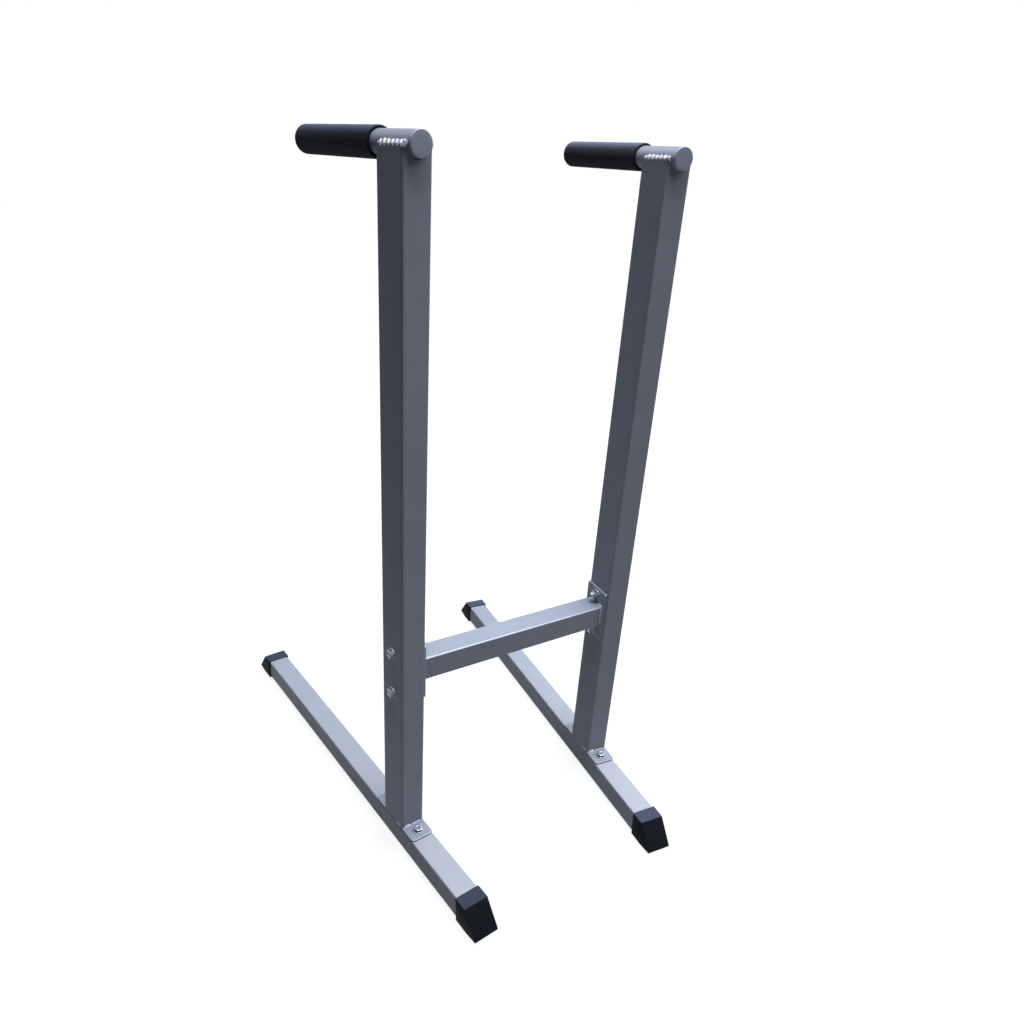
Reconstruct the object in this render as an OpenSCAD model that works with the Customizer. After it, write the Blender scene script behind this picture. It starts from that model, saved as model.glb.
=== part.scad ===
// Dip station: two side frames that open towards the padded grips, joined by one bolted crossbar.
// Each side frame is a base tube on two foot caps, an upright bolted to it through a foot plate,
// and a round handle tube that lies in a saddle cut into the upright's top.
// Millimetres, +Z up, +Y towards the grips, origin on the floor in the middle of the footprint.

/* [Overall] */
// Height of the top of the handle tubes above the floor
overall_h = 1100; // [950:10:1250]
// Distance between the centre lines of the two uprights
upright_spacing = 400; // [360:5:560]
// Angle by which each side frame opens towards the grips, in degrees
splay = 6; // [0:0.5:9]

/* [Base tubes] */
// Width of the base tube
base_w = 40; // [36:1:50]
// Height of the base tube
base_h = 40; // [36:1:50]
// Wall of the base tube
base_wall = 2; // [1.5:0.5:3]
// Outer corner radius of the base tube
base_r = 2.5; // [2:0.5:4]
// From the upright's centre line to the top edge of the front cap
front_reach = 216; // [180:1:280]
// From the upright's centre line to the top edge of the rear cap
rear_reach = 565; // [450:5:650]

/* [Foot caps] */
// Rubber around the sides and the top of the base tube
cap_wall = 2; // [1.5:0.5:3]
// Rubber under the base tube
cap_sole = 3; // [3:0.5:6]
// Rubber in front of the base tube's end, at the top
cap_end_wall = 4; // [3:0.5:6]
// Length of the cap's top, from its mouth to its edge
cap_top = 25; // [18:1:35]
// How far the toe stands out beyond the top edge
cap_toe = 31; // [20:1:40]
// Height of the toe's lower edge above the floor
cap_toe_lift = 3; // [1:0.5:5]
// Length of the sole, beyond the top edge, that lies flat on the floor
cap_flat = 6; // [2:1:12]
// How far the mouth leans, from top to bottom
cap_mouth_lean = 4; // [0:0.5:6]
// Clearance between the cap and the tube that it is pushed over
cap_fit = 0.2; // [0.1:0.05:0.4]

/* [Uprights] */
// Width of the upright tube, side to side
upright_w = 40; // [36:1:50]
// Depth of the upright tube, front to back
upright_d = 60; // [50:1:75]
// Wall of the upright tube
upright_wall = 2; // [1.5:0.5:3]
// Outer corner radius of the upright tube
upright_r = 2.5; // [2:0.5:5]
// How far the upright's side walls end below the handle's centre line
saddle_drop = 1; // [0.5:0.5:3]
// Clearance between the saddle and the handle tube
saddle_fit = 0.1; // [0.1:0.05:0.3]

/* [Foot plates] */
// Thickness of the foot plate under the upright
foot_plate_t = 4; // [3:0.5:6]
// Length of the foot plate in front of the upright
foot_plate_front = 33; // [31:1:45]
// Length of the foot plate behind the upright
foot_plate_rear = 29; // [28:1:45]
// Corner radius of the foot plate
foot_plate_r = 6; // [3:0.5:9]
// From the upright's face to the centre of a foot bolt
foot_bolt_gap = 17; // [16:0.5:18]

/* [Crossbar] */
// Height of the crossbar's centre line above the floor
crossbar_z = 352; // [250:2:600]
// Depth of the crossbar tube, front to back
crossbar_w = 40; // [30:1:46]
// Height of the crossbar tube
crossbar_h = 40; // [30:1:50]
// Wall of the crossbar tube
crossbar_wall = 2; // [1.5:0.5:3]
// Outer corner radius of the crossbar tube
crossbar_r = 2.5; // [2:0.5:4]
// Thickness of the plate on each end of the crossbar
end_plate_t = 4; // [3:0.5:6]
// Depth of the end plates, from the upright's rear face forwards
end_plate_w = 57; // [50:1:60]
// Corner radius of the end plates
end_plate_r = 2; // [1:0.5:5]
// From the crossbar's top or bottom face to the centre of a bolt
end_bolt_gap = 16.5; // [15:0.5:20]
// From the centre of a bolt to the end plate's edge
end_bolt_edge = 11.5; // [11:0.5:16]

/* [Handles] */
// Outside diameter of the handle tube
handle_d = 30; // [28:0.5:33]
// Wall of the handle tube
handle_wall = 2; // [1.5:0.5:3]
// How far the handle tube stands out in front of the upright
handle_front = 6; // [5:0.5:20]
// Thickness of the disc that closes the handle's front end
end_disc_t = 2.5; // [2:0.5:5]
// Radius of the disc's front edge
end_disc_r = 1.2; // [0.5:0.1:1.6]
// Bare tube between the upright and the foam grip
grip_gap = 24; // [8:1:60]
// Length of the foam grip
grip_len = 205; // [140:5:260]
// Thickness of the foam
grip_t = 4; // [3:0.5:8]
// Radius of the foam's end edges
grip_edge_r = 2; // [1:0.5:2.5]
// Clearance between the foam and the tube
grip_fit = 0.1; // [0.05:0.05:0.3]
// Thickness of the plug's head on the handle's rear end
plug_head_t = 2; // [1.5:0.5:4]
// How far the plug goes into the handle tube
plug_depth = 18; // [10:1:30]
// Clearance between the plug and the inside of the tube
plug_fit = 0.2; // [0.1:0.05:0.4]

/* [Fasteners] */
// Diameter of the bolts
bolt_d = 8; // [6:0.5:9]
// Clearance around a bolt in its holes
bolt_fit = 0.5; // [0.3:0.1:0.8]
// Clearance around a bolt in its nut
nut_fit = 0.1; // [0.05:0.05:0.2]
// Width across the flats of heads and nuts
nut_af = 13; // [12:0.5:14]
// Thickness of the nuts
nut_t = 6.5; // [5:0.5:8]
// Thickness of the bolt heads
head_t = 5.5; // [4:0.5:7]
// Diameter of the washers
washer_d = 16; // [15:0.5:18]
// Thickness of the washers
washer_t = 1.5; // [1:0.5:2.5]
// How far a crossbar bolt stands out of its nut
bolt_end = 5; // [2:0.5:8]
// Length of the foot bolts under the head
foot_bolt_len = 20; // [17:1:28]

/* [Welds] */
// Radius of the weld beads on the crossbar and the uprights' feet
weld_r = 3; // [2:0.25:4]
// Radius of the weld bead along the saddle
saddle_weld_r = 3.5; // [3.25:0.25:4.5]

/* [Hidden] */
$fn = 64;

// Finishes
paint_grey = [0.36, 0.38, 0.41];
rubber_black = [0.10, 0.10, 0.12];
foam_black = [0.12, 0.12, 0.14];
zinc = [0.78, 0.79, 0.80];
bare_weld = [0.72, 0.74, 0.76];
plastic_black = [0.08, 0.08, 0.09];

// Heights, from the floor up
base_z = cap_sole + base_h / 2;
base_top = cap_sole + base_h;
cap_height = base_top + cap_wall;
foot_plate_top = base_top + foot_plate_t;
handle_z = overall_h - handle_d / 2;
upright_top = handle_z - saddle_drop;
bolt_up = crossbar_h / 2 + end_bolt_gap;

// Places in a side frame: x from the upright's centre line towards the crossbar, y towards the grips
front_face = -upright_d / 2;
rear_face = upright_d / 2;
base_front = -(front_reach - cap_end_wall);
base_rear = rear_reach - cap_end_wall;
front_bolt_y = front_face - foot_bolt_gap;
rear_bolt_y = rear_face + foot_bolt_gap;
handle_front_end = front_face - handle_front;
grip_start = rear_face + grip_gap;
handle_rear_end = grip_start + grip_len;
plate_face = upright_w / 2 + end_plate_t;

// The side frames swing about the uprights, and the footprint's middle lies at the origin
upright_y = -cos(splay) * (rear_reach - front_reach) / 2;
crossbar_y = upright_y + sin(splay) * plate_face;
saddle_weld_x = (handle_d / 2 + upright_w / 2) / 2;
saddle_weld_z = handle_z + 0.5;
beyond = 1;

// Places its children in the left side frame, or mirrored in the right one
module side(name) {
    mirror([name == "right" ? 1 : 0, 0, 0])
        translate([-upright_spacing / 2, upright_y, 0])
            rotate([0, 0, splay])
                children();
}

// A rectangle with round corners, centred
module rounded_rect(w, d, r) {
    square([w - 2 * r, d], center = true);
    square([w, d - 2 * r], center = true);
    for (x = [-1, 1], y = [-1, 1])
        translate([x * (w / 2 - r), y * (d / 2 - r)])
            circle(r = r);
}

// The section of a drawn steel tube
module tube_section(w, d, r, wall) {
    difference() {
        rounded_rect(w, d, r);
        rounded_rect(w - 2 * wall, d - 2 * wall, max(r - wall, 0.8));
    }
}

// Lays what is drawn along Z down along Y
module along_y() {
    rotate([-90, 0, 0])
        children();
}

// Turns what is drawn along Z to point along X
module along_x() {
    rotate([0, 90, 0])
        children();
}

// A hexagon with its top corners turned off, as on a bolt head
module hex_block(h) {
    chamfer_slope = tan(60);
    intersection() {
        cylinder(d = nut_af / cos(30), h = h, $fn = 6);
        cylinder(r1 = nut_af / 2 + h * chamfer_slope, r2 = nut_af / 2 - 0.3, h = h);
    }
}

// Bolt with its head's underside at z = 0 and its shank below
module hex_bolt(shank) {
    tip = 1;
    hex_block(head_t);
    translate([0, 0, -shank + tip])
        cylinder(d = bolt_d, h = shank - tip);
    translate([0, 0, -shank])
        cylinder(d1 = bolt_d - 2 * tip, d2 = bolt_d, h = tip);
}

// Nut standing on z = 0
module hex_nut() {
    difference() {
        hex_block(nut_t);
        translate([0, 0, -beyond])
            cylinder(d = bolt_d + 2 * nut_fit, h = nut_t + 2 * beyond);
    }
}

// Washer standing on z = 0
module washer() {
    difference() {
        cylinder(d = washer_d, h = washer_t);
        translate([0, 0, -beyond])
            cylinder(d = bolt_d + 2 * bolt_fit, h = washer_t + 2 * beyond);
    }
}

// Holes for the two foot bolts
module foot_bolt_holes(z, h) {
    for (y = [front_bolt_y, rear_bolt_y])
        translate([0, y, z - beyond])
            cylinder(d = bolt_d + 2 * bolt_fit, h = h + 2 * beyond);
}

// Holes for the two crossbar bolts, through an upright and its end plate
module crossbar_bolt_holes() {
    for (z = [-bolt_up, bolt_up])
        translate([-upright_w / 2 - beyond, 0, crossbar_z + z])
            along_x()
                cylinder(d = bolt_d + 2 * bolt_fit, h = upright_w + end_plate_t + 2 * beyond);
}

module base_tube() {
    color(paint_grey)
        difference() {
            translate([0, base_front, base_z])
                along_y()
                    linear_extrude(base_rear - base_front)
                        tube_section(base_w, base_h, base_r, base_wall);
            foot_bolt_holes(base_top - base_wall, base_wall);
        }
}

// Wedge-shaped cap, its top edge at y = 0 and its toe towards +y
module foot_cap() {
    w = base_w + 2 * cap_wall;
    lean = cap_top - cap_mouth_lean;
    color(rubber_black)
        difference() {
            rotate([90, 0, 90])
                linear_extrude(w, center = true)
                    polygon([
                        [-lean, 0], [cap_flat, 0], [cap_toe, cap_toe_lift],
                        [cap_toe, cap_toe_lift + 1], [0, cap_height], [-cap_top, cap_height],
                    ]);
            translate([0, -cap_top - beyond, base_z])
                along_y()
                    linear_extrude(cap_top + beyond - cap_end_wall)
                        rounded_rect(base_w + 2 * cap_fit, base_h + 2 * cap_fit, base_r + cap_fit);
        }
}

module front_foot_cap() {
    mirror([0, 1, 0])
        translate([0, front_reach, 0])
            foot_cap();
}

module rear_foot_cap() {
    translate([0, rear_reach, 0])
        foot_cap();
}

module foot_plate() {
    length = foot_plate_front + upright_d + foot_plate_rear;
    color(paint_grey)
        difference() {
            translate([0, (foot_plate_rear - foot_plate_front) / 2, base_top])
                linear_extrude(foot_plate_t)
                    rounded_rect(base_w, length, foot_plate_r);
            foot_bolt_holes(base_top, foot_plate_t);
        }
}

// Beads on the plate, along the upright's front and rear faces
module foot_weld() {
    length = upright_w - 2 * upright_r;
    color(paint_grey)
        for (y = [front_face, rear_face])
            difference() {
                translate([-length / 2, y, foot_plate_top])
                    along_x()
                        cylinder(r = weld_r, h = length);
                translate([0, 0, foot_plate_top - weld_r])
                    cube([2 * upright_w, upright_d + 4 * weld_r, 2 * weld_r], center = true);
                translate([0, 0, foot_plate_top])
                    cube([2 * upright_w, upright_d, 4 * weld_r], center = true);
            }
}

module upright() {
    color(paint_grey)
        difference() {
            translate([0, 0, foot_plate_top])
                linear_extrude(upright_top - foot_plate_top)
                    tube_section(upright_w, upright_d, upright_r, upright_wall);
            translate([0, front_face - beyond, handle_z])
                along_y()
                    cylinder(r = handle_d / 2 + saddle_fit, h = upright_d + 2 * beyond);
            crossbar_bolt_holes();
        }
}

// One bead round the saddle: along both side walls, and under the tube at the front and the rear
module saddle_weld() {
    color(bare_weld)
        difference() {
            union() {
                for (x = [-1, 1])
                    translate([x * saddle_weld_x, front_face, saddle_weld_z])
                        along_y()
                            cylinder(r = saddle_weld_r, h = upright_d);
                for (x = [-1, 1], y = [front_face, rear_face])
                    translate([x * saddle_weld_x, y, saddle_weld_z])
                        sphere(r = saddle_weld_r);
                for (y = [front_face, rear_face])
                    translate([0, y, saddle_weld_z])
                        along_y()
                            rotate_extrude(angle = 180)
                                translate([saddle_weld_x, 0])
                                    circle(r = saddle_weld_r);
            }
            translate([0, 2 * front_face, handle_z])
                along_y()
                    cylinder(d = handle_d, h = 2 * upright_d);
            translate([0, 0, upright_top - upright_w])
                linear_extrude(upright_w)
                    rounded_rect(upright_w, upright_d, upright_r);
        }
}

module handle_tube() {
    color(paint_grey)
        translate([0, handle_front_end, handle_z])
            along_y()
                difference() {
                    cylinder(d = handle_d, h = handle_rear_end - handle_front_end);
                    translate([0, 0, -beyond])
                        cylinder(d = handle_d - 2 * handle_wall,
                                 h = handle_rear_end - handle_front_end + 2 * beyond);
                }
}

// Disc welded over the front end, with a round edge and a shallow dimple in its middle
module handle_end_disc() {
    dimple_r = 2;
    dimple_deep = 0.5;
    r = handle_d / 2;
    edge = [for (a = [0:15:90]) [r - end_disc_r + end_disc_r * cos(a), end_disc_r * (sin(a) - 1)]];
    color(paint_grey)
        translate([0, handle_front_end - end_disc_t, handle_z])
            rotate([90, 0, 0])
                rotate_extrude()
                    polygon(concat(
                        [[0, -end_disc_t], [r, -end_disc_t]], edge,
                        [[dimple_r, 0], [0, -dimple_deep]]
                    ));
}

module foam_grip() {
    inner = handle_d / 2 + grip_fit;
    outer = handle_d / 2 + grip_t;
    r = grip_edge_r;
    start_edge = [for (a = [0:15:90]) [outer - r + r * sin(a), r - r * cos(a)]];
    end_edge = [for (a = [0:15:90]) [outer - r + r * cos(a), grip_len - r + r * sin(a)]];
    color(foam_black)
        translate([0, grip_start, handle_z])
            along_y()
                rotate_extrude()
                    polygon(concat([[inner, 0]], start_edge, end_edge, [[inner, grip_len]]));
}

// Push-in plug that closes the handle's rear end
module handle_plug() {
    head_edge = 0.8;
    color(plastic_black)
        translate([0, handle_rear_end, handle_z])
            along_y() {
                cylinder(d = handle_d, h = plug_head_t - head_edge);
                translate([0, 0, plug_head_t - head_edge])
                    cylinder(d1 = handle_d, d2 = handle_d - 2 * head_edge, h = head_edge);
                translate([0, 0, -plug_depth])
                    cylinder(d = handle_d - 2 * handle_wall - 2 * plug_fit, h = plug_depth);
            }
}

// The crossbar's outside, longer than the gap that it fills
module crossbar_outside() {
    translate([-upright_spacing / 2, crossbar_y, crossbar_z])
        along_x()
            linear_extrude(upright_spacing)
                rounded_rect(crossbar_h, crossbar_w, crossbar_r);
}

// Everything on the upright's side of an end plate's inner face
module beyond_end_plate() {
    reach = upright_d + upright_w;
    translate([plate_face - reach, -reach, crossbar_z - reach])
        cube([reach, 2 * reach, 2 * reach]);
}

module crossbar_tube() {
    color(paint_grey)
        difference() {
            crossbar_outside();
            translate([-upright_spacing / 2 - beyond, crossbar_y, crossbar_z])
                along_x()
                    linear_extrude(upright_spacing + 2 * beyond)
                        rounded_rect(crossbar_h - 2 * crossbar_wall, crossbar_w - 2 * crossbar_wall,
                                     max(crossbar_r - crossbar_wall, 0.8));
            for (name = ["left", "right"])
                side(name)
                    beyond_end_plate();
        }
}

module crossbar_end_plate() {
    height = 2 * (bolt_up + end_bolt_edge);
    color(paint_grey)
        difference() {
            translate([upright_w / 2, rear_face - end_plate_w / 2, crossbar_z])
                along_x()
                    linear_extrude(end_plate_t)
                        rounded_rect(height, end_plate_w, end_plate_r);
            crossbar_bolt_holes();
        }
}

// Four beads round one end of the crossbar, each along a flat side, in the corner with its end plate
module crossbar_weld(name) {
    run_y = crossbar_w - 2 * crossbar_r - weld_r;
    run_z = crossbar_h - 2 * crossbar_r;
    color(paint_grey)
        difference() {
            side(name)
                translate([plate_face, 0, crossbar_z]) {
                    for (z = [-1, 1])
                        translate([0, -run_y / 2, z * crossbar_h / 2])
                            along_y()
                                cylinder(r = weld_r, h = run_y);
                    for (y = [-1, 1])
                        translate([0, y * crossbar_w / 2 / cos(splay), -run_z / 2])
                            cylinder(r = weld_r, h = run_z);
                }
            translate([0, crossbar_y, crossbar_z])
                cube([upright_spacing, crossbar_w, crossbar_h], center = true);
            side(name)
                beyond_end_plate();
        }
}

// Bolt through an upright and its end plate; up is 1 for the upper bolt and -1 for the lower
module crossbar_bolt(up) {
    shank = washer_t + upright_w + end_plate_t + washer_t + nut_t + bolt_end;
    color(zinc)
        translate([-upright_w / 2 - washer_t, 0, crossbar_z + up * bolt_up])
            rotate([0, -90, 0])
                hex_bolt(shank);
}

module crossbar_nut(up) {
    color(zinc)
        translate([plate_face + washer_t, 0, crossbar_z + up * bolt_up])
            along_x()
                hex_nut();
}

// A washer under each bolt head and under each nut
module crossbar_washers() {
    color(zinc)
        for (z = [-bolt_up, bolt_up], x = [plate_face, -upright_w / 2 - washer_t])
            translate([x, 0, crossbar_z + z])
                along_x()
                    washer();
}

module foot_bolt(y) {
    color(zinc)
        translate([0, y, foot_plate_top + washer_t])
            hex_bolt(foot_bolt_len);
}

module foot_washers() {
    color(zinc)
        for (y = [front_bolt_y, rear_bolt_y])
            translate([0, y, foot_plate_top])
                washer();
}

// Nuts welded under the base tube's top wall, inside the tube
module foot_weld_nuts() {
    color(zinc)
        for (y = [front_bolt_y, rear_bolt_y])
            translate([0, y, base_top - base_wall])
                mirror([0, 0, 1])
                    hex_nut();
}

side("left") base_tube();  // base_tube_left
side("right") base_tube();  // base_tube_right
side("left") front_foot_cap();  // front_foot_cap_left
side("right") front_foot_cap();  // front_foot_cap_right
side("left") rear_foot_cap();  // rear_foot_cap_left
side("right") rear_foot_cap();  // rear_foot_cap_right
side("left") foot_plate();  // foot_plate_left
side("right") foot_plate();  // foot_plate_right
side("left") foot_weld();  // foot_weld_left
side("right") foot_weld();  // foot_weld_right
side("left") upright();  // upright_left
side("right") upright();  // upright_right
side("left") saddle_weld();  // saddle_weld_left
side("right") saddle_weld();  // saddle_weld_right
side("left") handle_tube();  // handle_tube_left
side("right") handle_tube();  // handle_tube_right
side("left") handle_end_disc();  // handle_end_disc_left
side("right") handle_end_disc();  // handle_end_disc_right
side("left") foam_grip();  // foam_grip_left
side("right") foam_grip();  // foam_grip_right
side("left") handle_plug();  // handle_plug_left
side("right") handle_plug();  // handle_plug_right
crossbar_tube();
side("left") crossbar_end_plate();  // crossbar_end_plate_left
side("right") crossbar_end_plate();  // crossbar_end_plate_right
crossbar_weld("left");  // crossbar_weld_left
crossbar_weld("right");  // crossbar_weld_right
side("left") crossbar_bolt(1);  // crossbar_upper_bolt_left
side("left") crossbar_bolt(-1);  // crossbar_lower_bolt_left
side("right") crossbar_bolt(1);  // crossbar_upper_bolt_right
side("right") crossbar_bolt(-1);  // crossbar_lower_bolt_right
side("left") crossbar_nut(1);  // crossbar_upper_nut_left
side("left") crossbar_nut(-1);  // crossbar_lower_nut_left
side("right") crossbar_nut(1);  // crossbar_upper_nut_right
side("right") crossbar_nut(-1);  // crossbar_lower_nut_right
side("left") crossbar_washers();  // crossbar_washers_left
side("right") crossbar_washers();  // crossbar_washers_right
side("left") foot_bolt(front_bolt_y);  // foot_front_bolt_left
side("left") foot_bolt(rear_bolt_y);  // foot_rear_bolt_left
side("right") foot_bolt(front_bolt_y);  // foot_front_bolt_right
side("right") foot_bolt(rear_bolt_y);  // foot_rear_bolt_right
side("left") foot_washers();  // foot_washers_left
side("right") foot_washers();  // foot_washers_right
side("left") foot_weld_nuts();  // foot_weld_nuts_left
side("right") foot_weld_nuts();  // foot_weld_nuts_right
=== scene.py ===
"""Dip station in a plain studio: two splayed steel side frames, a bolted crossbar, grips and foot caps.

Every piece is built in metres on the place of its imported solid, and rides on the one rigid body.
"""
import logging
import math
import random
from abc import ABC, abstractmethod
from bisect import bisect_right
from collections.abc import Iterable, Sequence
from dataclasses import dataclass, field
from enum import Enum
from functools import cache
from itertools import accumulate

import bmesh
import bpy
from mathutils import Matrix, Vector, noise


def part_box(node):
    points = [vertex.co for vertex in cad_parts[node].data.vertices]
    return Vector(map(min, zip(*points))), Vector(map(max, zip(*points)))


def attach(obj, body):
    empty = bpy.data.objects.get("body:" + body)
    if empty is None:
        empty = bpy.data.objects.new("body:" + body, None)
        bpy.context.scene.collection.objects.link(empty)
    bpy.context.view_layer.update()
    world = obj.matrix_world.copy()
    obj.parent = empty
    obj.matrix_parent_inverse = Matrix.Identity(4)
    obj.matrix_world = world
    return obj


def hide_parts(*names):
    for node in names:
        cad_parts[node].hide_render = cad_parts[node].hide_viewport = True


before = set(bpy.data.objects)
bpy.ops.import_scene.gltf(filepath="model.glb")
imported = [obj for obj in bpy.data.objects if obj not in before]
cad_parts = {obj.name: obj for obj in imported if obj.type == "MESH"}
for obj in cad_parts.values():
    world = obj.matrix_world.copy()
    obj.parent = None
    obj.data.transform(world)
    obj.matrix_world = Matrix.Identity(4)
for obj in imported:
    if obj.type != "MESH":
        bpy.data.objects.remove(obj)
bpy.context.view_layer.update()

MM = 0.001
BODY = "root"
BOLT_HOLE = 4.5 * MM
ACROSS = Vector((1, 0, 0))
ALONG = Vector((0, 1, 0))
UP = Vector((0, 0, 1))
log = logging.getLogger("dip_station")

Rgb = tuple[float, float, float]
Pair = tuple[float, float]
Box = tuple[Vector, Vector]
Run = list[tuple[Vector, Vector]]
Socket = bpy.types.NodeSocket


class Side(Enum):
    """The two side frames, as seen from the front."""

    LEFT = "left"
    RIGHT = "right"

    @property
    def inwards(self) -> int:
        """Sign of the row frame's x towards the crossbar."""
        return 1 if self is Side.LEFT else -1


class End(Enum):
    """The two ends of a base tube."""

    FRONT = "front"
    REAR = "rear"


class Level(Enum):
    """The two bolts on each end of the crossbar."""

    UPPER = "upper"
    LOWER = "lower"


@dataclass(frozen=True)
class Axes:
    """Axes of a side frame: x towards the crossbar, y towards the grips, z up, on the upright's foot."""

    to_row: Matrix

    @classmethod
    def of_side(cls, side: Side) -> "Axes":
        """Reads a side frame's axes off its packed upright and grip.

        Args:
            side: Which side frame.

        Returns:
            The axes, left-handed on the right side because that frame is a mirror image.
        """
        foot = middle(*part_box(f"upright_{side.value}"))
        along = middle(*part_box(f"foam_grip_{side.value}")) - foot
        foot.z = along.z = 0
        along.normalize()
        across = side.inwards * Vector((along.y, -along.x, 0))
        columns = Matrix((across, along, UP)).transposed().to_4x4()
        return cls(Matrix.Translation(foot) @ columns)

    def box(self, node: str) -> Box:
        """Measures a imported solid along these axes.

        Args:
            node: The solid's name.

        Returns:
            Its lowest and highest corner in these axes.
        """
        to_axes = self.to_row.inverted()
        places = [to_axes @ v.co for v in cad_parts[node].data.vertices]
        return Vector(map(min, zip(*places))), Vector(map(max, zip(*places)))


# Outlines


def middle(low: Vector, high: Vector) -> Vector:
    """The point half way between two corners."""
    return (low + high) / 2


def arc(start: float, end: float, steps: int) -> list[float]:
    """Angles in radians from start to end degrees, both included."""
    return [math.radians(start + (end - start) * i / steps) for i in range(steps + 1)]


def spoke(angle: float) -> Vector:
    """The level direction at an angle in radians."""
    return Vector((math.cos(angle), math.sin(angle), 0))


def circle(radius: float, z: float, count: int) -> list[Vector]:
    """Points round the z axis at one height."""
    return [Vector((radius * math.cos(a), radius * math.sin(a), z)) for a in arc(0, 360, count)[:-1]]


def round_edge(radius: float, top: float, edge: float, end: float, steps: int) -> list[Pair]:
    """Profile of a turned body's rounded edge, from its side up to end degrees of the way to its top."""
    return [(radius - edge + edge * math.cos(a), top - edge + edge * math.sin(a))
            for a in arc(0, end, steps)]


def rounded_rectangle(width: float, length: float, radius: float, z: float, steps: int = 6) -> list[Vector]:
    """Outlines a rectangle with round corners, centred on the z axis.

    Args:
        width: Size along x.
        length: Size along y.
        radius: Corner radius.
        z: Height of the outline.
        steps: Facets in each corner.

    Returns:
        The outline's points, anticlockwise.
    """
    points = []
    for quarter, (sx, sy) in enumerate(((1, 1), (-1, 1), (-1, -1), (1, -1))):
        centre = Vector((sx * (width / 2 - radius), sy * (length / 2 - radius), z))
        points += [centre + radius * spoke(a) for a in arc(90 * quarter, 90 * quarter + 90, steps)]
    return points


def seat(place: Vector, up: Vector, forward: Vector) -> Matrix:
    """The right-handed matrix that stands a piece on a place, with z along up and y along forward."""
    across = forward.cross(up)
    return Matrix.Translation(place) @ Matrix((across, forward, up)).transposed().to_4x4()


def lengths_along(run: Run) -> list[float]:
    """Length from the start of a run to each of its points."""
    legs = [(second - first).length for (first, _), (second, _) in zip(run, run[1:])]
    return list(accumulate(legs, initial=0.0))


def point_along(run: Run, lengths: list[float], length: float) -> tuple[Vector, Vector]:
    """Finds a place in between a run's points.

    Args:
        run: Points, each with a direction.
        lengths: Length from the run's start to each point.
        length: Length from the run's start to the place.

    Returns:
        The place and its direction.
    """
    leg = min(bisect_right(lengths, length), len(run) - 1) - 1
    share = (length - lengths[leg]) / max(1e-9, lengths[leg + 1] - lengths[leg])
    return run[leg][0].lerp(run[leg + 1][0], share), run[leg][1].lerp(run[leg + 1][1], share)


def stretch(loop: Run, start: float, end: float) -> Run:
    """Cuts a stretch out of a closed run.

    Args:
        loop: Points of the closed run.
        start: Where the stretch starts, as a share of the run's length.
        end: Where it ends.

    Returns:
        The stretch, with its ends in between the loop's points.
    """
    closed = loop + [loop[0]]
    lengths = lengths_along(closed)
    first = start * lengths[-1]
    last = end * lengths[-1]
    inner = [item for item, length in zip(closed, lengths) if first < length < last]
    return [point_along(closed, lengths, first), *inner, point_along(closed, lengths, last)]


# Finishes


class Wiring:
    """A node tree while it is being wired."""

    def __init__(self, tree: bpy.types.NodeTree) -> None:
        """Takes a tree over."""
        self.tree = tree

    def node(self, kind: str, **parts: object) -> bpy.types.Node:
        """Adds a node, sets its properties and feeds its inputs.

        Args:
            kind: The node type, without its usual first words.
            **parts: Properties by their small-letter names, and inputs as feed takes them.

        Returns:
            The node.
        """
        made = self.tree.nodes.new("ShaderNode" + kind)
        for name in [name for name in parts if name[0].islower()]:
            setattr(made, name, parts.pop(name))
        return self.feed(made, **parts)

    def feed(self, node: bpy.types.Node, **inputs: object) -> bpy.types.Node:
        """Links sockets to a node's inputs, or sets them to plain values.

        Args:
            node: The node.
            **inputs: Sockets or values by input name, with _ for a space, or by _ and its number.

        Returns:
            The same node.
        """
        for name, value in inputs.items():
            socket = node.inputs[int(name[1:]) if name[0] == "_" else name.replace("_", " ")]
            if isinstance(value, Socket):
                self.tree.links.new(value, socket)
            else:
                socket.default_value = value
        return node

    def spread(self, value: Socket, low: float, high: float | Socket, start: float = 0.3,
               end: float = 0.7) -> Socket:
        """Stretches a value over a new range: start gives low and end gives high."""
        return self.node("MapRange", Value=value, From_Min=start, From_Max=end, To_Min=low,
                         To_Max=high).outputs["Result"]

    def tint(self, amount: Socket, first: Rgb | Socket, second: Rgb | Socket) -> Socket:
        """Blends two colours: all first where the amount is 0, all second where it is 1."""
        colours = [c if isinstance(c, Socket) else (*c, 1) for c in (first, second)]
        return self.node("Mix", data_type="RGBA", _0=amount, _6=colours[0], _7=colours[1]).outputs[2]


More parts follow.
